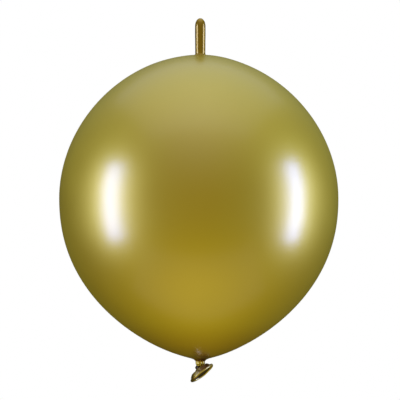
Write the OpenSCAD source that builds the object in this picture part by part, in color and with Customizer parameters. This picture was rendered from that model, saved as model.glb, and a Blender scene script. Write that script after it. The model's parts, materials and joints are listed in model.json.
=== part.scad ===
// Link balloon: one dipped latex moulding, inflated and knotted at the neck, with a closed
// tail on the crown for tying it to the next balloon in a chain.
// The origin is the waist of the tied neck, +Z points to the crown, +X to the right.

/* [Body] */
// Widest diameter of the inflated body
body_d = 300; // [290:1:310]
// Height of the crown above the widest circle
crown_h = 154.2; // [150:0.2:158]
// Depth of the neck junction below the widest circle
belly_h = 174; // [170:1:178]
// Thickness of the stretched skin
skin_wall = 0.4; // [0.35:0.05:0.5]
// Lean of the body to the left of the neck's axis, in degrees
body_lean = 0.55; // [0:0.05:0.8]

/* [Tail] */
// Outer diameter of the tail
tail_d = 11.1; // [10.8:0.1:11.4]
// Length of the tail above the crown
tail_len = 39.4; // [39:0.2:41]
// Length of the pointed dome that closes the tail
tail_dome_h = 9; // [8.4:0.2:9]
// Height of the first bending station above the crown
first_station_h = 6.6; // [6.4:0.1:6.8]
// Distance from one bending station to the next
station_pitch = 7.8; // [7.6:0.1:7.9]
// Radius of the foot that blends the tail into the crown
tail_foot_r = 1.4; // [1:0.1:1.8]
// Diameter of the air passage along the tail
air_passage_d = 3; // [2.4:0.2:3.4]

/* [Neck] */
// Diameter of the tied neck
neck_d = 10.4; // [10.2:0.1:10.6]
// Diameter of the thick ring of gathered latex around the neck
gather_d = 19.6; // [19:0.1:20]
// Height of the neck junction above the waist
junction_h = 3.2; // [3.1:0.1:3.4]
// Radius of the flare from the neck into the body
flare_r = 2.6; // [2.5:0.1:2.7]
// Length of the straight neck below the waist
neck_drop = 2.7; // [2.5:0.1:2.8]

/* [Knot] */
// Diameter across the loop of the knot
loop_d = 11; // [10.8:0.1:11.2]
// Thickness of the loop of the knot
loop_cord_d = 3.2; // [3:0.1:3.3]
// Depth of the loop's middle below the waist
loop_drop = 5.2; // [5.2:0.1:5.4]
// Diameter of the strand that passes through the loop
strand_d = 3.4; // [3.2:0.1:3.5]

/* [Mouth] */
// Diameter of the rolled lip, along the middle of its bead
lip_d = 27.4; // [26.6:0.1:28]
// Thickness of the rolled lip
bead_d = 2.3; // [2:0.1:2.5]
// Distance from the lip's plane to the knot's ball
mouth_depth = 3.4; // [3.2:0.1:3.6]
// Angle between the mouth's opening and straight down
mouth_tilt = 42; // [40:1:43]
// Compass direction that the mouth opens towards, from +X
mouth_heading = -26; // [-30:1:-22]
// Thickness of the skirt between the knot and the lip
skirt_wall = 0.6; // [0.5:0.1:0.7]

/* [Joints] */
// Gap between a ball and its cup
ball_gap = 0.25; // [0.2:0.05:0.3]
// Depth of a cup's rim below the middle of the ball, on the tail and neck
rim_drop = 2.2; // [2:0.1:2.3]

/* [Hidden] */
$fn = 96;

gold = [0.62, 0.53, 0.20];
bronze = [0.45, 0.35, 0.12];

// Shape of the inflated body: each half is a rounded curve r = R (1 - s^power)^fullness,
// where s runs from 0 at the widest circle to 1 at the crown or at the neck junction
crown_power = 1.95;
crown_fullness = 0.53;
belly_power = 2.2;
belly_fullness = 0.68;
outline_step = 3;

body_r = body_d / 2;
equator_z = junction_h + belly_h;
crown_z = equator_z + crown_h;

tail_r = tail_d / 2;
tail_dome_power = 2.2;
foot_depth = 1;
passage_end_h = 2;
tip_z = crown_z + tail_len;
function station_z(i) = crown_z + first_station_h + i * station_pitch;

neck_r = neck_d / 2;
gather_r = gather_d / 2;
gather_top_z = 6.4;
gather_taper = 0.8;
// The flare is an arc that starts close to level at the body and ends at the cup's rim
flare_centre = [neck_r + flare_r, 1.2];
flare_from = 100;
// Height of the cone between the neck and the strand in the knot
cone_h = 1.3;
strand_r = strand_d / 2;

lip_r = lip_d / 2;
bead_r = bead_d / 2;
lip_centre = [1.3, -3.2, -10.7];
// The direction that the mouth opens in
mouth_axis = [sin(mouth_tilt) * cos(mouth_heading), sin(mouth_tilt) * sin(mouth_heading), -cos(mouth_tilt)];
ball_r = 2;
ball_centre = lip_centre - mouth_depth * mouth_axis;
ball_rim_drop = 1.1;
throat_r = 1.5;
throat_wall = 0.8;
skirt_bend_r = 1.8;
// Longer than anything that is cut away
cut = 60;

// One point of the upper or lower half of the body, moved inwards by the wall w
function crown_point(a, w) = [(body_r - w) * pow(1 - pow(sin(a), crown_power), crown_fullness),
                              equator_z + (crown_h - w) * sin(a)];
function belly_point(a, w) = [(body_r - w) * pow(1 - pow(sin(a), belly_power), belly_fullness),
                              equator_z - (belly_h - w) * sin(a)];
// The angle at which the lower half has the radius r
function belly_angle(r, w) = asin(pow(1 - pow(r / (body_r - w), 1 / belly_fullness), 1 / belly_power));
// The outline from the crown down to the gathered ring, where its radius is r
function body_outline(w, r) = concat(
    [for (a = [90 : -outline_step : 0]) crown_point(a, w)],
    [for (a = [outline_step : outline_step : belly_angle(r, w) - outline_step / 2]) belly_point(a, w)],
    [belly_point(belly_angle(r, w), w)]);
// Points on an arc, both ends included
function arc(centre, r, from, to, steps) =
    [for (i = [0 : steps]) let (a = from + (to - from) * i / steps) centre + r * [cos(a), sin(a)]];

module leaning() {
    rotate([0, -body_lean, 0]) children();
}

// A solid of the body's shape, shrunk by the wall w, with a recess for the gathered ring:
// the recess starts at the radius ring_r and has its roof at roof_z
module body_shape(w, ring_r, roof_z) {
    rotate_extrude()
        polygon(concat(body_outline(w, ring_r), [[ring_r - gather_taper, roof_z], [0, roof_z]]));
}

module body_skin() {
    color(gold)
        leaning()
            difference() {
                body_shape(0, gather_r, gather_top_z);
                body_shape(skin_wall, gather_r + skin_wall, gather_top_z + skin_wall);
            }
}

// A round tube with a ball at its lower end and a cup for the next ball at its upper end
module tail_segment(i) {
    translate([0, 0, station_z(i)])
        difference() {
            union() {
                half_ball(tail_r);
                cylinder(h = station_pitch - rim_drop, r = tail_r);
            }
            translate([0, 0, station_pitch]) sphere(r = tail_r + ball_gap);
            translate([0, 0, -cut / 2]) cylinder(h = cut, d = air_passage_d);
        }
}

// The lower half of a ball
module half_ball(r) {
    difference() {
        sphere(r = r);
        cylinder(h = cut, r = cut);
    }
}

// The foot of the tail, moulded to the crown, with a cup for the first ball
module tail_root() {
    foot_z = crown_z - foot_depth;
    rim_z = station_z(0) - rim_drop;
    foot_centre = [tail_r + tail_foot_r, crown_z + tail_foot_r];
    color(bronze)
        difference() {
            rotate_extrude()
                polygon(concat([[0, rim_z], [0, foot_z], [foot_centre[0], foot_z]],
                               arc(foot_centre, tail_foot_r, 270, 180, 8),
                               [[tail_r, rim_z]]));
            leaning() body_shape(0, gather_r, gather_top_z);
            translate([0, 0, station_z(0)]) sphere(r = tail_r + ball_gap);
        }
}

module tail_lower() {
    color(bronze) tail_segment(0);
}

module tail_middle() {
    color(bronze) tail_segment(1);
}

module tail_upper() {
    color(bronze) tail_segment(2);
}

// The closed end: a ball below, then a pointed dome
module tail_tip() {
    dome_z = tip_z - tail_dome_h;
    color(bronze)
        difference() {
            union() {
                translate([0, 0, station_z(3)]) half_ball(tail_r);
                rotate_extrude()
                    polygon(concat([[0, station_z(3)], [tail_r, station_z(3)]],
                                   [for (a = [0 : 5 : 90])
                                        [tail_r * sqrt(1 - pow(sin(a), tail_dome_power)),
                                         dome_z + tail_dome_h * sin(a)]]));
            }
            translate([0, 0, station_z(3) - cut]) cylinder(h = cut + passage_end_h, d = air_passage_d);
        }
}

// The thick gathered ring at the bottom of the body, with a cup for the neck's ball
module neck_gather() {
    flare_to = 180 - asin((rim_drop - flare_centre[1]) / flare_r);
    color(bronze)
        leaning()
            difference() {
                rotate_extrude()
                    polygon(concat([[0, gather_top_z], [gather_r - gather_taper, gather_top_z],
                                    belly_point(belly_angle(gather_r, 0), 0)],
                                   arc(flare_centre, flare_r, flare_from, flare_to, 8),
                                   [[0, rim_drop]]));
                sphere(r = neck_r + ball_gap);
            }
}

// The neck below the waist, squeezed to a strand where it enters the knot
module neck_stem() {
    color(bronze)
        union() {
            rotate([180, 0, 0]) half_ball(neck_r);
            translate([0, 0, -neck_drop]) cylinder(h = neck_drop, r = neck_r);
            translate([0, 0, -neck_drop - cone_h]) cylinder(h = cone_h, r1 = strand_r, r2 = neck_r);
        }
}

// The strand through the loop, from the neck to the ball that carries the mouth
module knot_core() {
    top_z = -neck_drop - cone_h;
    run = ball_centre - [0, 0, top_z];
    lean = acos(-run[2] / norm(run));
    heading = atan2(run[1], run[0]);
    color(bronze)
        difference() {
            union() {
                translate([0, 0, top_z])
                    rotate([0, 180 - lean, heading])
                        translate([0, 0, -ball_r]) cylinder(h = norm(run) + ball_r, r = strand_r);
                translate(ball_centre) sphere(r = ball_r);
            }
            translate([-cut / 2, -cut / 2, top_z]) cube(cut);
        }
}

// The loop of the knot, pressed against the strand
module knot_loop() {
    loop_r = (loop_d - loop_cord_d) / 2;
    color(gold)
        difference() {
            translate([0, 0, -loop_drop])
                rotate_extrude()
                    translate([loop_r, 0]) circle(d = loop_cord_d);
            knot_core();
        }
}

// Places a shape around the mouth's axis: local +Z points from the lip's plane to the knot
module mouth_place() {
    translate(lip_centre)
        rotate([0, -mouth_tilt, mouth_heading])
            children();
}

// The rolled edge of the mouth
module lip_ring() {
    rotate_extrude() translate([lip_r, 0]) circle(r = bead_r);
}

// The trumpet between the knot's ball and the lip
module mouth_skirt() {
    outer_throat_r = throat_r + throat_wall;
    rim_h = mouth_depth - ball_rim_drop;
    outer_bend = [outer_throat_r + skirt_bend_r, skirt_wall + skirt_bend_r];
    inner_bend_r = outer_bend[1];
    inner_bend = [throat_r + inner_bend_r, outer_bend[1]];
    color(bronze)
        mouth_place()
            difference() {
                rotate_extrude()
                    polygon(concat([[throat_r, rim_h], [outer_throat_r, rim_h]],
                                   arc(outer_bend, skirt_bend_r, 180, 270, 8),
                                   [[lip_r, skirt_wall], [lip_r, 0]],
                                   arc(inner_bend, inner_bend_r, 270, 180, 8)));
                translate([0, 0, mouth_depth]) sphere(r = ball_r + ball_gap);
                lip_ring();
            }
}

module lip_bead() {
    color(gold) mouth_place() lip_ring();
}

body_skin();
tail_root();
tail_lower();
tail_middle();
tail_upper();
tail_tip();
neck_gather();
neck_stem();
knot_core();
knot_loop();
mouth_skirt();
lip_bead();
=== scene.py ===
"""The looks of a gold link balloon: inflated skin, tail, tied neck, knot, skirt and rolled lip."""

import json
import math

import bpy
import numpy as np
from mathutils import Matrix, Vector


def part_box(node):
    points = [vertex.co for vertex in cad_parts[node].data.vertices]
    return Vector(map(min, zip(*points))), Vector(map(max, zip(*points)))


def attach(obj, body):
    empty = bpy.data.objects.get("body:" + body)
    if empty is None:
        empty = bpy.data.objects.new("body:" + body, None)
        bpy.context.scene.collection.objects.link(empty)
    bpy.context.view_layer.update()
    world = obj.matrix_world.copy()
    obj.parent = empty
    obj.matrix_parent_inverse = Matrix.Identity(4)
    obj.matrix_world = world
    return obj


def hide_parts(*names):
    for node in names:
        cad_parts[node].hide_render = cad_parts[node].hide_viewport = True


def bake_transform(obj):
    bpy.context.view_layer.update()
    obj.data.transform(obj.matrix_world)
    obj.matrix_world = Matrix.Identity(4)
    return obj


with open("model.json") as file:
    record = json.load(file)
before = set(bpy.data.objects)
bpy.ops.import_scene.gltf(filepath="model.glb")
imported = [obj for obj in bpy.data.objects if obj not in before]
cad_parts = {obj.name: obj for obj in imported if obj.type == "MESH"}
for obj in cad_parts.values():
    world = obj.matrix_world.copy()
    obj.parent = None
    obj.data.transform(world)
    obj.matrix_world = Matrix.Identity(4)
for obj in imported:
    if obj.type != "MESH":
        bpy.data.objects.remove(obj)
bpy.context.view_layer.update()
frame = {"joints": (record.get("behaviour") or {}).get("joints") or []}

MM = 0.001
joints = {j["name"]: j for j in frame["joints"]}


# ---------------------------------------------------------------- sizes
# from the frame
skin_low, skin_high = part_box("body_skin")
tip_low, tip_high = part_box("tail_tip")
lip_low, lip_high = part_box("lip_bead")

BODY_R = (skin_high.y - skin_low.y) / 2
CROWN_Z = skin_high.z
TAIL_R = (tip_high.x - tip_low.x) / 2
TAIL_TIP_Z = tip_high.z
STATIONS = [joints[n]["pos_m"][2] for n in ("tail_lean", "tail_bend", "tail_curl", "tail_hook")]
PITCH = STATIONS[1] - STATIONS[0]
MOUTH_PIVOT = np.array(joints["mouth_flap"]["pos_m"])
LIP_CENTRE = np.array((lip_low + lip_high) / 2)
MOUTH_AXIS = (LIP_CENTRE - MOUTH_PIVOT) / np.linalg.norm(LIP_CENTRE - MOUTH_PIVOT)

# the same as in the CAD model
JUNCTION_Z = 3.2 * MM
EQUATOR_Z = 177.2 * MM
LEAN = math.radians(0.55)
BEAD_R = 1.15 * MM
LIP_R = 13.7 * MM
# the power and fullness of each half of the body's outline, and the power of the tail's dome
CROWN_POWER, CROWN_FULLNESS = 1.95, 0.53
BELLY_POWER, BELLY_FULLNESS = 2.2, 0.68
TAIL_DOME_POWER = 2.2

# chosen here for the looks, within 0.2 mm of the CAD model's
TAIL_FOOT = 1.5 * MM
FOOT_R = TAIL_R + TAIL_FOOT
NECK_R = 5.0 * MM


# ---------------------------------------------------------------- shape helpers
def smooth(t):
    """A smooth step from 0 to 1."""
    t = np.clip(t, 0, 1)
    return t * t * (3 - 2 * t)


def bezier(p0, p1, p2, p3, n):
    """n + 1 points along a cubic curve."""
    t = np.linspace(0, 1, n + 1)[:, None]
    p0, p1, p2, p3 = (np.array(p, float) for p in (p0, p1, p2, p3))
    return (1 - t) ** 3 * p0 + 3 * (1 - t) ** 2 * t * p1 + 3 * (1 - t) * t**2 * p2 + t**3 * p3


def evenly(points, n):
    """The same curve with n + 1 points, evenly spaced along it."""
    points = np.array(points, float)
    steps = np.r_[0, np.cumsum(np.linalg.norm(np.diff(points, axis=0), axis=1))]
    at = np.linspace(0, steps[-1], n + 1)
    return np.stack([np.interp(at, steps, points[:, k]) for k in range(points.shape[1])], 1)


def turn(points, axis, angle):
    """Points turned about an axis through the origin."""
    m = np.array(Matrix.Rotation(angle, 3, Vector(axis)))
    return points @ m.T


def angles(n):
    """n angles, evenly spaced round a ring."""
    return np.arange(n) * 2 * math.pi / n


def folds(phi, counts, seed):
    """Uneven folds round a ring, roughly from -1 to 1: waves whose sizes and places come from the seed."""
    rng = np.random.default_rng(seed)
    total = np.zeros_like(phi)
    for n in counts:
        total = total + rng.uniform(0.6, 1.0) * np.cos(n * phi + rng.uniform(0, 2 * math.pi))
    return total / (0.8 * len(counts))


def grid_normals(points, away_from):
    """Normals of a closed ring grid [row, column, xyz], on the side that faces away from a point."""
    along = np.gradient(points, axis=0)
    across = np.roll(points, -1, 1) - np.roll(points, 1, 1)
    n = np.cross(across, along)
    n /= np.maximum(np.linalg.norm(n, axis=2, keepdims=True), 1e-15)
    return n * np.sign(np.sum(n * (points - np.array(away_from))))


# ---------------------------------------------------------------- mesh helpers
def new_object(name, verts, faces, stretch_and_shade, corner_normals=None):
    """A smooth mesh object with its own shading normals if given, and a value for each vertex that sets its
    tone: the rubber's stretch, with painted shade on the knot and mouth.
    """
    mesh = bpy.data.meshes.new(name)
    mesh.from_pydata([tuple(v) for v in verts], [], faces)
    mesh.update()
    mesh.shade_smooth()
    attribute = mesh.attributes.new("stretch_and_shade", "FLOAT", "POINT")
    attribute.data.foreach_set("value", np.asarray(stretch_and_shade, np.float32))
    if corner_normals is not None:
        mesh.normals_split_custom_set([tuple(n) for n in corner_normals])
    obj = bpy.data.objects.new(name, mesh)
    bpy.context.scene.collection.objects.link(obj)
    return obj


def shell(name, outer, normals, wall, stretch_and_shade, inner_stretch_and_shade=None, pole=False):
    """A closed shell of rubber: the outer ring grid, an inner one a wall's thickness inside, and rims.
    With pole=True the last row closes to a point."""
    rows, cols = outer.shape[:2]
    half = rows * cols
    inner = outer - normals * wall
    verts = np.concatenate([outer.reshape(-1, 3), inner.reshape(-1, 3)])
    vert_normals = np.concatenate([normals.reshape(-1, 3), -normals.reshape(-1, 3)])
    inner_stretch_and_shade = stretch_and_shade if inner_stretch_and_shade is None else inner_stretch_and_shade
    values = np.concatenate([stretch_and_shade.reshape(-1), inner_stretch_and_shade.reshape(-1)])
    facing = np.cross(outer[1, 0] - outer[0, 0], outer[1, 1] - outer[1, 0])
    flip = np.dot(facing, normals[0, 0]) < 0
    faces, corner = [], []

    def add(loop, loop_normals):
        """Adds a face with the normals of its corners, turned so that it faces out of the rubber."""
        faces.append(loop[::-1] if flip else loop)
        corner.extend(loop_normals[::-1] if flip else loop_normals)

    def pairs(row):
        """Each vertex of an outer row with the next one round the ring."""
        for c in range(cols):
            yield row * cols + c, row * cols + (c + 1) % cols

    for row in range(rows - 1):
        for a, b in pairs(row):
            loop = [a, a + cols, b + cols, b]
            add(loop, [vert_normals[i] for i in loop])
            loop = [half + i for i in reversed(loop)]
            add(loop, [vert_normals[i] for i in loop])

    rims = [(0, outer[0] - outer[1])]
    if not pole:
        rims.append((rows - 1, outer[-1] - outer[-2]))
    for row, away in rims:
        away = away / np.linalg.norm(away, axis=1, keepdims=True)
        for a, b in pairs(row):
            loop = [a, b, half + b, half + a]
            if row:
                loop = loop[::-1]
            add(loop, [away[i % cols] for i in loop])

    if pole:
        tip = outer[-1].mean(0)
        direction = tip - outer[-2].mean(0)
        direction /= np.linalg.norm(direction)
        outer_tip, inner_tip = len(verts), len(verts) + 1
        verts = np.concatenate([verts, [tip + direction * 0.02 * MM, tip - direction * wall]])
        values = np.append(values, [values[half - 1]] * 2)
        for a, b in pairs(rows - 1):
            add([a, outer_tip, b], [vert_normals[a], direction, vert_normals[b]])
            add([half + b, inner_tip, half + a], [-vert_normals[b], -direction, -vert_normals[a]])
    return new_object(name, verts, faces, values, corner)


def frames_along(path, up):
    """Two directions square to a path at each of its points, without twist."""
    along = np.gradient(path, axis=0)
    along /= np.linalg.norm(along, axis=1, keepdims=True)
    side = np.cross(along[0], up)
    side /= np.linalg.norm(side)
    sides = []
    for t in along:
        side = side - t * np.dot(side, t)
        side /= np.linalg.norm(side)
        sides.append(side.copy())
    sides = np.array(sides)
    return sides, np.cross(along, sides)


ROPE_COLS = 64


def rope(name, path, radius, up=(0, 0, 1)):
    """A closed solid swept along a path. radius(u, phi) is in metres, with u from 0 to 1 along it."""
    n, cols = len(path), ROPE_COLS
    one, two = frames_along(path, np.array(up, float))
    phi = angles(cols)
    u = np.linspace(0, 1, n)
    r = radius(u[:, None], phi[None, :])
    ring = np.cos(phi)[None, :, None] * one[:, None] + np.sin(phi)[None, :, None] * two[:, None]
    points = path[:, None] + r[..., None] * ring
    verts = np.concatenate([points.reshape(-1, 3), [path[0], path[-1]]])
    faces = []
    for i in range(n - 1):
        for c in range(cols):
            a, b = i * cols + c, i * cols + (c + 1) % cols
            faces.append([a, b, b + cols, a + cols])
    for c in range(cols):
        b = (c + 1) % cols
        faces.append([n * cols, b, c])
        faces.append([n * cols + 1, (n - 1) * cols + c, (n - 1) * cols + b])
    # every rope gets the value 0, the darkest knot tone: painted shade over the whole knot
    return new_object(name, verts, faces, np.zeros(len(verts)))


# ---------------------------------------------------------------- materials
COAT_IOR = 1.6
# how fine each noise is: about this many patches to a metre
CLOUD_SCALE, FLAKE_SCALE = 11, 2600
# the most that the slow noise adds to the stretch or takes from it
DRIFT = 0.08
RIPPLE_DEPTH = 0.05 * MM


def node(tree, kind, at, **settings):
    """A new shader node with its settings, at its place in the node editor."""
    made = tree.nodes.new(kind)
    made.location = at
    for key, value in settings.items():
        setattr(made, key, value)
    return made


def noise(tree, scale, detail):
    """Cloudy noise in the piece's own space."""
    place = node(tree, "ShaderNodeTexCoord", (-1300, 0))
    made = node(tree, "ShaderNodeTexNoise", (-1000, 0))
    made.inputs["Scale"].default_value = scale
    made.inputs["Detail"].default_value = detail
    tree.links.new(place.outputs["Object"], made.inputs["Vector"])
    return made.outputs["Fac"]


def spread(tree, source, middle, reach):
    """A noise turned into values that lie within a reach on each side of a middle."""
    made = node(tree, "ShaderNodeMapRange", (-500, 0))
    made.inputs["From Min"].default_value = 0.3
    made.inputs["From Max"].default_value = 0.7
    made.inputs["To Min"].default_value = middle - reach
    made.inputs["To Max"].default_value = middle + reach
    tree.links.new(source, made.inputs["Value"])
    return made.outputs["Result"]


def stretch_and_shade_colour(tree, cloud, colours):
    """The colour at each point's stretch value, which also carries painted shade on the knot and mouth, and
    drifts a little with a slow noise.
    """
    link = tree.links.new
    stretch_and_shade = node(tree, "ShaderNodeAttribute", (-1300, 300), attribute_name="stretch_and_shade")
    drift = node(tree, "ShaderNodeMath", (-800, 300), operation="MULTIPLY_ADD")
    drift.inputs[1].default_value = 2 * DRIFT
    drift.inputs[2].default_value = -DRIFT
    link(cloud, drift.inputs[0])
    pull = node(tree, "ShaderNodeMath", (-600, 300), operation="ADD", use_clamp=True)
    link(stretch_and_shade.outputs["Fac"], pull.inputs[0])
    link(drift.outputs[0], pull.inputs[1])
    ramp = node(tree, "ShaderNodeValToRGB", (-400, 300))
    stops = ramp.color_ramp.elements
    stops[1].position = 1.0
    for i, (at, tone) in enumerate(colours):
        stop = stops[0] if i == 0 else stops[-1] if i == len(colours) - 1 else stops.new(at)
        stop.position = at
        stop.color = (*tone, 1)
    link(pull.outputs[0], ramp.inputs["Fac"])
    return ramp.outputs["Color"]


def latex(name, colours, roughness, flake, crease, coat, coat_roughness):
    """Metallic latex: pearl pigment under a glossy skin. The colours run from slack to taut rubber, and on
    the knot and mouth up from painted shade, flake is how much the pigment glitters, and crease is how fine
    the ripples are."""
    material = bpy.data.materials.new(name)
    material.use_nodes = True
    tree = material.node_tree
    tree.nodes.clear()
    link = tree.links.new
    out = node(tree, "ShaderNodeOutputMaterial", (900, 0))
    shader = node(tree, "ShaderNodeBsdfPrincipled", (600, 0))
    link(shader.outputs["BSDF"], out.inputs["Surface"])
    shader.inputs["Metallic"].default_value = 1.0
    shader.inputs["Coat Weight"].default_value = coat
    shader.inputs["Coat IOR"].default_value = COAT_IOR
    shader.inputs["Coat Roughness"].default_value = coat_roughness

    # slow changes in how far the rubber is stretched and in how rough it is
    cloud = noise(tree, CLOUD_SCALE, 3)
    link(spread(tree, cloud, roughness, 0.03), shader.inputs["Roughness"])
    # pigment flakes, well under a millimetre
    speckle = node(tree, "ShaderNodeVectorMath", (0, 250), operation="SCALE")
    link(stretch_and_shade_colour(tree, cloud, colours), speckle.inputs[0])
    link(spread(tree, noise(tree, FLAKE_SCALE, 2), 1, flake), speckle.inputs["Scale"])
    link(speckle.outputs["Vector"], shader.inputs["Base Color"])
    # fine ripples of the moulded surface
    bump = node(tree, "ShaderNodeBump", (300, -300))
    bump.inputs["Strength"].default_value = 0.25
    bump.inputs["Distance"].default_value = RIPPLE_DEPTH
    link(noise(tree, crease, 4), bump.inputs["Height"])
    link(bump.outputs["Normal"], shader.inputs["Normal"])
    return material


# the latex from slack to taut: first the thin skin, then the thick rubber of the tail and knot, whose
# darkest tone, SHADED, is painted shade on the knot and mouth
BROWN, ORANGE = (0.20, 0.085, 0.008), (0.46, 0.275, 0.012)
GOLD, LEMON = (0.52, 0.365, 0.028), (0.52, 0.410, 0.032)
SHADED, BRONZE = (0.040, 0.022, 0.008), (0.30, 0.170, 0.016)
OLIVE, PALE = (0.46, 0.330, 0.050), (0.58, 0.460, 0.190)
SKIN_TONES = [(0.0, BROWN), (0.3, ORANGE), (0.6, GOLD), (1.0, LEMON)]
KNOT_TONES = [(0.0, SHADED), (0.35, BRONZE), (0.7, OLIVE), (1.0, PALE)]
gold_skin = latex("gold_skin", SKIN_TONES, roughness=0.50, flake=0.03, crease=160, coat=1.0,
                  coat_roughness=0.27)
gathered_latex = latex("gathered_latex", SKIN_TONES, roughness=0.47, flake=0.05, crease=620, coat=0.3,
                       coat_roughness=0.22)
thick_latex = latex("thick_latex", [(0.0, BRONZE), (1.0, OLIVE)], roughness=0.32, flake=0.05, crease=420,
                    coat=0.25, coat_roughness=0.18)
knot_latex = latex("knot_latex", KNOT_TONES, roughness=0.40, flake=0.06, crease=620, coat=0.25,
                   coat_roughness=0.22)


def finish_piece(piece, material, slot_name, *nodes):
    """Gives a piece its material and hides the CAD nodes that it stands for; the slot name is not used."""
    piece.data.materials.append(material)
    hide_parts(*nodes)


# ---------------------------------------------------------------- body and gathered neck
SKIN_COLS = 224
SKIN_WALL = 0.4 * MM
# the skin ends and the gathered neck begins at this radius, inside the creases
SPLIT_R = 11 * MM
CREASES_DEEPEST_R, CREASES_END_R = 6 * MM, 24 * MM
# the outline turns from the belly into the neck's flare at this radius
FLARE_START_R = 12.5 * MM
STEM_TOP_Z, STEM_END_Z = 1.4 * MM, -3.4 * MM
STEM_TAPER = 0.9 * MM
CREASE_DEPTH, PLEAT_DEPTH = 0.20 * MM, 0.23 * MM


def half_outline(height, power, fullness, s):
    """Radius and height from the equator (s = 0) to the crown or the neck (s = 1)."""
    return np.stack([BODY_R * (1 - s**power) ** fullness, EQUATOR_Z + height * s], 1)


def body_profile():
    """Radius and height from the tail's foot over the crown and down to the top of the stem."""
    down = np.sin(np.linspace(math.pi / 2, 0, 400))
    crown = half_outline(CROWN_Z - EQUATOR_Z, CROWN_POWER, CROWN_FULLNESS, down)
    # the skin runs a little way in under the tail's foot
    crown = crown[crown[:, 0] > FOOT_R - 0.6 * MM]
    down = np.sin(np.linspace(0, math.pi / 2, 600))[1:]
    belly = half_outline(JUNCTION_Z - EQUATOR_Z, BELLY_POWER, BELLY_FULLNESS, down)
    belly = belly[belly[:, 0] > FLARE_START_R]
    last = belly[-1]
    slope = last - belly[-2]
    slope /= np.linalg.norm(slope)
    flare = bezier(last, last + slope * 4.6 * MM, (NECK_R, 3.0 * MM), (NECK_R, STEM_TOP_Z), 40)
    return np.concatenate([crown, belly, flare[1:]])


def skin_profile():
    """The body's profile with finer rows at the neck and the stem added, and the row of the split."""
    coarse = evenly(body_profile(), 170)
    in_neck = (coarse[:, 0] < SPLIT_R) & (coarse[:, 1] < EQUATOR_Z)
    split = int(np.argmax(in_neck))
    flare = evenly(coarse[split:], 30)
    down = np.linspace(0, 1, 19)[1:]
    radius = NECK_R - STEM_TAPER * smooth((down - 0.5) / 0.5)
    stem = np.stack([radius, STEM_TOP_Z + (STEM_END_Z - STEM_TOP_Z) * down], 1)
    return np.concatenate([coarse[:split], flare, stem]), split


def skin_points(profile):
    """The whole outer surface of body, flare and stem, with its creases, as a ring grid."""
    phi = angles(SKIN_COLS)
    r, z = profile[:, 0][:, None], profile[:, 1][:, None]
    on_body = smooth((z - 1.0 * MM) / (4 * MM))
    nearness = 1 - smooth((r - CREASES_DEEPEST_R) / (CREASES_END_R - CREASES_DEEPEST_R))
    deep = np.where(z < EQUATOR_Z, nearness, 0) ** 1.5
    creases = folds(phi, (17, 23, 29, 37, 43), 3)[None, :]
    pleats = folds(phi, (9, 12, 15), 8)[None, :]
    push = CREASE_DEPTH * creases * deep * on_body + PLEAT_DEPTH * pleats * deep * (1 - on_body * 0.6)
    # the moulding is never quite round
    lobes = 0.0016 * np.cos(2 * phi + 0.7)[None, :] + 0.0010 * np.cos(3 * phi - 1.1)[None, :]
    rr = r * (1 + lobes * on_body)
    points = np.stack([rr * np.cos(phi), rr * np.sin(phi), z + 0 * phi], 2)
    slope = np.gradient(profile, axis=0)
    slope /= np.linalg.norm(slope, axis=1, keepdims=True)
    out_r, out_z = -slope[:, 1][:, None], slope[:, 0][:, None]
    points += push[..., None] * np.stack([out_r * np.cos(phi), out_r * np.sin(phi), out_z + 0 * phi], 2)
    # the body leans a little, but its crown stays centred under the tail
    crown = smooth((z - EQUATOR_Z) / (100 * MM)) * (1 - smooth((r - 7 * MM) / (45 * MM)))
    lean = (smooth(z / (20 * MM)) * (1 - crown))[..., None]
    return points + (turn(points, (0, 1, 0), -LEAN) - points) * lean


def skin_stretch(z):
    """How far the rubber is stretched at each height."""
    # most on the upper half, and less and less towards the neck
    pull = 0.60 + 0.40 * smooth((z - EQUATOR_Z) / (CROWN_Z - EQUATOR_Z))
    pull = pull - 0.40 * (1 - smooth((z - 6 * MM) / (46 * MM)))
    # not at all in the brown gathers, but the stem below them is drawn tight
    pull = pull * smooth((z - 3.2 * MM) / (8 * MM))
    pull = pull + 0.58 * (1 - smooth((z + 0.6 * MM) / (3.6 * MM)))
    # the rubber thickens at the tail's foot
    pull = pull - 0.5 * smooth((z - CROWN_Z + 2 * MM) / (2 * MM))
    return np.clip(pull, 0, 1)


def body_and_neck():
    """The inflated skin, and the gathers and stem that carry it down into the knot."""
    profile, split = skin_profile()
    points = skin_points(profile)
    normals = grid_normals(points, (0, 0, EQUATOR_Z))
    stretch_and_shade = np.repeat(skin_stretch(profile[:, 1])[:, None], SKIN_COLS, 1)
    above, below = slice(0, split + 1), slice(split, None)

    skin = shell("balloon_skin", points[above], normals[above], SKIN_WALL, stretch_and_shade[above])
    finish_piece(skin, gold_skin, "gold_skin", "body_skin")
    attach(skin, "envelope")

    neck = shell("gathered_neck", points[below], normals[below], SKIN_WALL, stretch_and_shade[below])
    finish_piece(neck, gathered_latex, "gathered_latex", "neck_gather", "neck_stem")
    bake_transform(neck)


body_and_neck()


# ---------------------------------------------------------------- tail
TAIL_COLS = 96
TAIL_WALL = 0.5 * MM
FOOT_SINK = 0.25 * MM
DOME_H = 9 * MM
TAIL_WAVER = 0.06 * MM
# each piece of the sleeve, the CAD nodes that it stands for, and the bodies at its lower and upper ends
SLEEVES = [
    ("tail_foot", ("tail_root", "tail_lower"), "envelope", "tail_lower"),
    ("tail_sleeve_low", ("tail_middle",), "tail_lower", "tail_middle"),
    ("tail_sleeve_high", ("tail_upper",), "tail_middle", "tail_upper"),
    ("tail_end", ("tail_tip",), "tail_upper", "tail_tip")]


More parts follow.
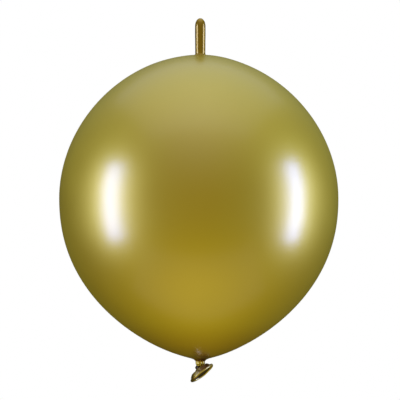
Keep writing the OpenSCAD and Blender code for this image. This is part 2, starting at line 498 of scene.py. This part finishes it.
def tail_profile():
    """Radius and height from the foot on the crown to the tip."""
    a = np.linspace(math.pi * 1.5, math.pi, 12)
    foot = np.stack([FOOT_R + TAIL_FOOT * np.cos(a), CROWN_Z - FOOT_SINK + TAIL_FOOT * (1 + np.sin(a))], 1)
    s = np.sin(np.linspace(0, math.pi / 2, 60)[:-1])
    dome = np.stack([TAIL_R * np.sqrt(1 - s**TAIL_DOME_POWER), TAIL_TIP_Z - DOME_H + DOME_H * s], 1)
    return np.concatenate([foot, dome])


def tail_rows():
    """The profile with a row at every seam, so that neighbouring pieces meet exactly, and those rows."""
    raw = evenly(tail_profile(), 400)
    seams = [z + PITCH / 2 for z in STATIONS[:3]]
    joined, marks = raw[:1], []
    for seam in seams:
        between = raw[(raw[:, 1] > joined[-1, 1]) & (raw[:, 1] < seam)]
        end = [[np.interp(seam, raw[:, 1], raw[:, 0]), seam]]
        part = evenly(np.concatenate([joined[-1:], between, end]), 28)
        joined = np.concatenate([joined, part[1:]])
        marks.append(len(joined) - 1)
    part = evenly(np.concatenate([joined[-1:], raw[raw[:, 1] > joined[-1, 1]]]), 44)
    joined = np.concatenate([joined, part[1:]])
    return joined, marks + [len(joined) - 1]


def tail_points(line):
    """The tail's outer surface as a ring grid: a little swollen near its end, and not quite round."""
    phi = angles(TAIL_COLS)
    r, z = line[:, 0][:, None], line[:, 1][:, None]
    along = (z - CROWN_Z) / (TAIL_TIP_Z - CROWN_Z)
    swell = 1 + 0.022 * np.sin(math.pi * np.clip((along - 0.35) / 0.6, 0, 1))
    swell = swell - 0.012 * (1 - smooth((along - 0.05) / 0.3))
    waver = TAIL_WAVER * folds(phi, (2, 3), 5)[None, :] * smooth(along / 0.2) * smooth((1 - along) / 0.2)
    rr = r * swell + waver
    stretch_and_shade = 0.08 + 0.25 * (1 - smooth(along / 0.15)) + 0.35 * smooth((along - 0.88) / 0.12)
    points = np.stack([rr * np.cos(phi), rr * np.sin(phi), z + 0 * phi], 2)
    return points, np.repeat(stretch_and_shade, TAIL_COLS, 1)


def tail():
    """The tube on the crown, closed at its tip: four pieces that meet at seams."""
    line, marks = tail_rows()
    points, stretch_and_shade = tail_points(line)
    normals = grid_normals(points, (0, 0, STATIONS[1]))
    for (name, nodes, lower, upper), start, end, middle in zip(SLEEVES, [0, *marks], marks, STATIONS):
        rows = slice(start, end + 1)
        closed = name == "tail_end"
        piece = shell(name, points[rows], normals[rows], TAIL_WALL, stretch_and_shade[rows], pole=closed)
        finish_piece(piece, thick_latex, "thick_latex", *nodes)
        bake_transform(piece)


tail()


# ---------------------------------------------------------------- knot
ROLL_R, ROLL_TURNS = 2.0 * MM, 1.3
ROLL_START = math.radians(60)
STRAND_R = 2.5 * MM
STRAND_TOP = np.array([0, 0.2 * MM, -3.0 * MM])


def ends_of(t, reach):
    """1 along the middle of a path, falling to 0 within the reach of each end."""
    return smooth(t / reach) * smooth((1 - t) / reach)


def roll_path():
    """A loop and a bit more round the neck, sinking as it goes, whose ends turn inwards."""
    t = np.linspace(0, 1, 120)
    a = ROLL_START + t * ROLL_TURNS * 2 * math.pi
    r = (0.9 + 2.6 * ends_of(t, 0.14)) * MM
    start, end = 1 - smooth(t / 0.14), 1 - smooth((1 - t) / 0.14)
    z = (-4.9 - 1.9 * t + 0.7 * start - 0.9 * end) * MM
    return np.stack([r * np.cos(a), r * np.sin(a), z], 1)


def roll_radius(u, phi):
    """Thinner towards its ends, with ridges that wind along it."""
    ridges = 0.10 * folds(phi + 2.4 * u, (5, 7, 11), 21) + 0.05 * folds(phi - 3 * u, (13, 17), 22)
    return ROLL_R * (0.72 + 0.28 * ends_of(u, 0.12)) * (1 + ridges)


def strand_path():
    """From the stem down through the roll and over to the mouth."""
    return bezier(STRAND_TOP, STRAND_TOP - [0, 0, 3.4 * MM], MOUTH_PIVOT - MOUTH_AXIS * 2.4 * MM,
                  MOUTH_PIVOT + MOUTH_AXIS * 0.6 * MM, 40)


def strand_radius(u, phi):
    """A little thinner towards the mouth, with ridges along it."""
    return (STRAND_R - 0.3 * MM * smooth(u)) * (1 + 0.10 * folds(phi, (5, 7, 9), 31))


def knot():
    """The tied neck: a roll of rubber round it, and the strand that is drawn down through the roll."""
    roll = rope("knot_roll", roll_path(), roll_radius)
    finish_piece(roll, knot_latex, "knot_latex", "knot_loop")
    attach(roll, "knot")
    strand = rope("knot_strand", strand_path(), strand_radius, up=(1, 0, 0))
    finish_piece(strand, knot_latex, "knot_latex", "knot_core")
    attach(strand, "knot")


knot()


# ---------------------------------------------------------------- mouth
SKIRT_COLS = 160
SKIRT_WALL = 0.45 * MM
SKIRT_PLEAT = 0.45 * MM
LIP_WAVE, NEAR_DROOP = 0.22 * MM, 2.3 * MM
# the skirt's outline, as distances from the mouth's axis and heights above the lip's plane, in two
# curves: out of the knot, and on to the lip
SKIRT_THROAT = [(2.4 * MM, 6.0 * MM), (3.6 * MM, 6.0 * MM), (4.4 * MM, 5.3 * MM), (5.2 * MM, 4.6 * MM)]
SKIRT_FLARE = [(5.2 * MM, 4.6 * MM), (8.2 * MM, 3.9 * MM), (12.8 * MM, 2.8 * MM), (LIP_R, 0.1 * MM)]


def mouth_frame():
    """Two directions square to the mouth's axis: the first one is level."""
    level = np.cross(MOUTH_AXIS, (0, 0, 1.0))
    level /= np.linalg.norm(level)
    return level, np.cross(MOUTH_AXIS, level)


LEVEL, STEEP = mouth_frame()


def ring_angle(axis, sign):
    """The angle round the lip at which it reaches furthest along an axis (0 to 2), or against it."""
    return math.atan2(sign * STEEP[axis], sign * LEVEL[axis])


# where the lip is nearest to the viewer, highest, and furthest to the left
NEAR, UPPER, LEFT = ring_angle(1, -1), ring_angle(2, 1), ring_angle(0, -1)


def in_mouth(rho, h, phi):
    """Points at the distance rho from the mouth's axis and the height h above the lip's plane."""
    ring = np.cos(phi)[..., None] * LEVEL + np.sin(phi)[..., None] * STEEP
    return LIP_CENTRE + rho[..., None] * ring - h[..., None] * MOUTH_AXIS


def left_end(phi):
    """1 round the left end of the lip, where the rubber is bunched up thick and where a dark reflection is
    painted, and 0 elsewhere.
    """
    return smooth((np.cos(phi - LEFT) - 0.5) / 0.45)


def lip_wave(phi):
    """The rolled lip is a little oval and wavy, and its near side droops: how wide, and how far it lifts."""
    near = smooth((np.cos(phi - NEAR) + 0.35) / 1.35)
    wide = 1 + 0.012 * np.cos(2 * phi + 0.6) + 0.006 * np.cos(3 * phi)
    return wide, LIP_WAVE * folds(phi, (2, 3, 5), 41) - NEAR_DROOP * near


def skirt_billow(t, phi):
    """How far the skirt bulges out: on the side that points up, and at the left end, close to the lip."""
    upper = smooth((t - 0.2) / 0.5) * (1 - smooth((t - 0.7) / 0.3)) * smooth(0.5 + 0.5 * np.cos(phi - UPPER))
    left = smooth((t - 0.2) / 0.5) * (1 - smooth((t - 0.92) / 0.08)) * left_end(phi)
    return 1.7 * MM * upper + 1.4 * MM * left


def skirt():
    """The thin rubber that flares out in folds from the knot to the rolled lip."""
    line = evenly(np.concatenate([bezier(*SKIRT_THROAT, 24), bezier(*SKIRT_FLARE, 48)[1:]]), 64)
    r, rise = line[:, 0][:, None], line[:, 1][:, None]
    phi = angles(SKIRT_COLS)[None, :]
    t = (r - r[0]) / (r[-1] - r[0])
    wide, lift = lip_wave(phi)
    pleats = folds(phi + 0.6 * t, (8, 11, 14), 51) + 0.5 * folds(phi, (19, 25), 52)
    size = smooth(t / 0.25) * (1 - smooth((t - 0.6) / 0.4)) + 0.3 * (1 - smooth(t / 0.25))
    rho = r * (1 + (wide - 1) * smooth(t))
    h = rise + lift * smooth(t) + SKIRT_PLEAT * pleats * size + skirt_billow(t, phi)
    points = in_mouth(rho + 0 * phi, h, phi + 0 * t)
    normals = grid_normals(points, LIP_CENTRE + MOUTH_AXIS * LIP_R)
    # painted shade and highlight: the skirt is darkened where it leaves the knot, lighter and darker along
    # its pleats, and painted dark round the left end as a painted dark reflection
    stretch_and_shade = (0.05 + 0.95 * smooth((t - 0.06) / 0.25) + 0.18 * pleats) * (1 - 0.95 * left_end(phi))
    # the inside of the mouth is painted dark with the darkest knot tone: painted shade
    return shell("mouth_skirt_folds", points, normals, SKIRT_WALL, np.clip(stretch_and_shade, 0, 1),
                 inner_stretch_and_shade=0 * stretch_and_shade)


def lip():
    """The rolled rim of the mouth: a closed ring of rubber."""
    rows, cols = 192, 28
    phi, a = angles(rows)[:, None], angles(cols)[None, :]
    wide, lift = lip_wave(phi)
    # the bead is rolled up thicker at the left and right ends
    ends = 0.35 * np.cos(phi - LEFT) ** 6
    bead = BEAD_R * (1 + 0.05 * folds(phi, (4, 7, 9), 61) + 0.02 * np.cos(3 * a + 2 * phi) + ends)
    points = in_mouth(LIP_R * wide + bead * np.cos(a), lift + bead * np.sin(a), phi + 0 * a)
    faces = []
    for i in range(rows):
        for c in range(cols):
            j, d = (i + 1) % rows, (c + 1) % cols
            faces.append([i * cols + c, i * cols + d, j * cols + d, j * cols + c])
    # the lip's left end is painted dark: a painted dark reflection
    stretch_and_shade = 0.78 - 0.74 * left_end(phi) + 0 * a
    return new_object("rolled_lip", points.reshape(-1, 3), faces, stretch_and_shade.reshape(-1))


def mouth():
    """The skirt between the knot and the mouth, and the lip at its end."""
    folded = skirt()
    finish_piece(folded, knot_latex, "knot_latex", "mouth_skirt")
    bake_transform(folded)
    rolled = lip()
    finish_piece(rolled, knot_latex, "lip_latex", "lip_bead")
    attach(rolled, "mouth")


mouth()


# ---------------------------------------------------------------- stage, light and camera
FLOOR_Z, FLOOR_R = -0.30, 2.2


def matt(name, colour, roughness):
    """A material without any gloss."""
    material = bpy.data.materials.new(name)
    material.use_nodes = True
    shader = material.node_tree.nodes["Principled BSDF"]
    shader.inputs["Base Color"].default_value = (*colour, 1)
    shader.inputs["Roughness"].default_value = roughness
    shader.inputs["Specular IOR Level"].default_value = 0
    return material


def floor():
    """A plain pale disc, which the balloon doesn't mirror."""
    ring = [(FLOOR_R * math.cos(a), FLOOR_R * math.sin(a), FLOOR_Z) for a in angles(96)]
    mesh = bpy.data.meshes.new("floor")
    mesh.from_pydata(ring, [], [list(range(len(ring)))])
    obj = bpy.data.objects.new("floor", mesh)
    bpy.context.scene.collection.objects.link(obj)
    mesh.materials.append(matt("pale_floor", (0.86, 0.86, 0.85), 0.9))
    obj.visible_glossy = False


floor()

MIDDLE = (0, 0, EQUATOR_Z)


def around(azimuth, distance, elevation=0.0):
    """A point round the body's middle: azimuth 0 is the viewer's side, 90 is to the right."""
    a, e = math.radians(azimuth), math.radians(elevation)
    flat = distance * math.cos(e)
    return (flat * math.sin(a), -flat * math.cos(a), EQUATOR_Z + distance * math.sin(e))


def panel(name, at, size, watts):
    """A soft rectangular lamp facing the body's middle: its size is in metres, its power is per colour.
    It shows in the glossy latex, and leaves the floor its even grey."""
    data = bpy.data.lights.new(name, "AREA")
    data.shape = "RECTANGLE"
    data.size, data.size_y = size
    data.energy = max(watts)
    data.color = [w / max(watts) for w in watts]
    obj = bpy.data.objects.new(name, data)
    bpy.context.scene.collection.objects.link(obj)
    obj.location = at
    obj.rotation_euler = (Vector(at) - Vector(MIDDLE)).to_track_quat("Z", "Y").to_euler()
    obj.visible_camera = False
    obj.visible_diffuse = False


# a tall strip lamp with a wider, dimmer halo on each side, a big overhead lamp and a card below
panel("left_core", around(-71, 1.0), size=(0.25, 0.81), watts=(2.8, 3.9, 11.5))
panel("left_halo", around(-69.5, 1.0), size=(0.44, 0.85), watts=(1.1, 1.2, 2.7))
panel("right_core", around(81, 1.0), size=(0.23, 0.81), watts=(3.1, 4.2, 11.5))
panel("right_halo", around(78, 1.0), size=(0.44, 0.85), watts=(0.5, 0.6, 2.5))
panel("overhead", around(0, 1.2, elevation=95), size=(2.0, 2.0), watts=(2.9, 3.5, 5.8))
panel("bounce_card", (0, -0.25, FLOOR_Z + 0.015), size=(0.9, 0.5), watts=(0.14, 0.16, 0.40))

# each glow of the room that the latex reflects: the way it lies, how tightly it gathers there, its colour
GLOWS = [
    ((0, 0, -1), 1, (0.26, 0.20, 0.01)),
    ((0, -0.30, -0.95), 3, (0.63, 0.65, 0.05)),
    ((0, -1, 0), 4, (0.42, 0.38, 0.12)),
    ((0, 1, 0), 1, (0.03, 0.03, 0.01)),
    ((-0.94, 0, 0.34), 1, (0.23, 0.22, 0.01)),
    ((0.94, 0, 0.34), 1, (0.29, 0.31, 0.04)),
    ((0, 0, 1), 1, (0.26, 0.27, 0.02)),
    ((0, 0.25, 0.97), 3, (0.28, 0.29, 0.57)),
    ((0, -0.50, 0.87), 5, (0.22, 0.24, 0.72))]


def glow_colour(tree, way, gather, tone):
    """A glow that is brightest the way it lies and gone a quarter turn from it."""
    spot = node(tree, "ShaderNodeTexCoord", (-1000, 0))
    facing = node(tree, "ShaderNodeVectorMath", (-800, 0), operation="DOT_PRODUCT")
    facing.inputs[1].default_value = way
    front = node(tree, "ShaderNodeMath", (-600, 0), operation="MAXIMUM")
    front.inputs[1].default_value = 0
    power = node(tree, "ShaderNodeMath", (-400, 0), operation="POWER")
    power.inputs[1].default_value = gather
    glow = node(tree, "ShaderNodeVectorMath", (-200, 0), operation="SCALE")
    glow.inputs[0].default_value = tone
    tree.links.new(spot.outputs["Generated"], facing.inputs[0])
    tree.links.new(facing.outputs["Value"], front.inputs[0])
    tree.links.new(front.outputs[0], power.inputs[0])
    tree.links.new(power.outputs[0], glow.inputs["Scale"])
    return glow.outputs["Vector"]


def backdrop(tree, colour, location):
    """A background of one colour."""
    made = node(tree, "ShaderNodeBackground", location)
    made.inputs["Color"].default_value = (*colour, 1)
    return made.outputs["Background"]


def room():
    """White for the camera, an even grey for the floor, and a dim tinted room for the reflections."""
    world = bpy.data.worlds.new("studio")
    bpy.context.scene.world = world
    world.use_nodes = True
    tree = world.node_tree
    tree.nodes.clear()
    link = tree.links.new
    total = None
    for way, gather, tone in GLOWS:
        glow = glow_colour(tree, way, gather, tone)
        if total is None:
            total = glow
            continue
        both = node(tree, "ShaderNodeVectorMath", (0, 0), operation="ADD")
        link(total, both.inputs[0])
        link(glow, both.inputs[1])
        total = both.outputs["Vector"]
    reflected = node(tree, "ShaderNodeBackground", (200, 0))
    link(total, reflected.inputs["Color"])
    surface = reflected.outputs["Background"]
    rays = node(tree, "ShaderNodeLightPath", (200, 400))
    for ray, tone in (("Is Diffuse Ray", (0.8, 0.8, 0.8)), ("Is Camera Ray", (1, 1, 1))):
        mix = node(tree, "ShaderNodeMixShader", (600, 0))
        link(rays.outputs[ray], mix.inputs["Fac"])
        link(surface, mix.inputs[1])
        link(backdrop(tree, tone, (400, -200)), mix.inputs[2])
        surface = mix.outputs["Shader"]
    out = node(tree, "ShaderNodeOutputWorld", (800, 0))
    link(surface, out.inputs["Surface"])


room()

bpy.context.scene.view_settings.view_transform = "Standard"
bpy.context.scene.view_settings.look = "None"

CAMERA_X, CAMERA_AWAY, CAMERA_Z = -0.0003, 2.5, 0.175
SENSOR_WIDTH = 36
# the width of the view at the balloon, in metres
FRAME_WIDTH = 0.4307


def add_camera():
    """A level camera in front of the balloon."""
    data = bpy.data.cameras.new("camera")
    data.sensor_width = SENSOR_WIDTH
    data.lens = SENSOR_WIDTH * CAMERA_AWAY / FRAME_WIDTH
    camera = bpy.data.objects.new("camera", data)
    bpy.context.scene.collection.objects.link(camera)
    camera.location = (CAMERA_X, -CAMERA_AWAY, CAMERA_Z)
    camera.rotation_euler = (math.pi / 2, 0, 0)
    bpy.context.scene.camera = camera


add_camera()
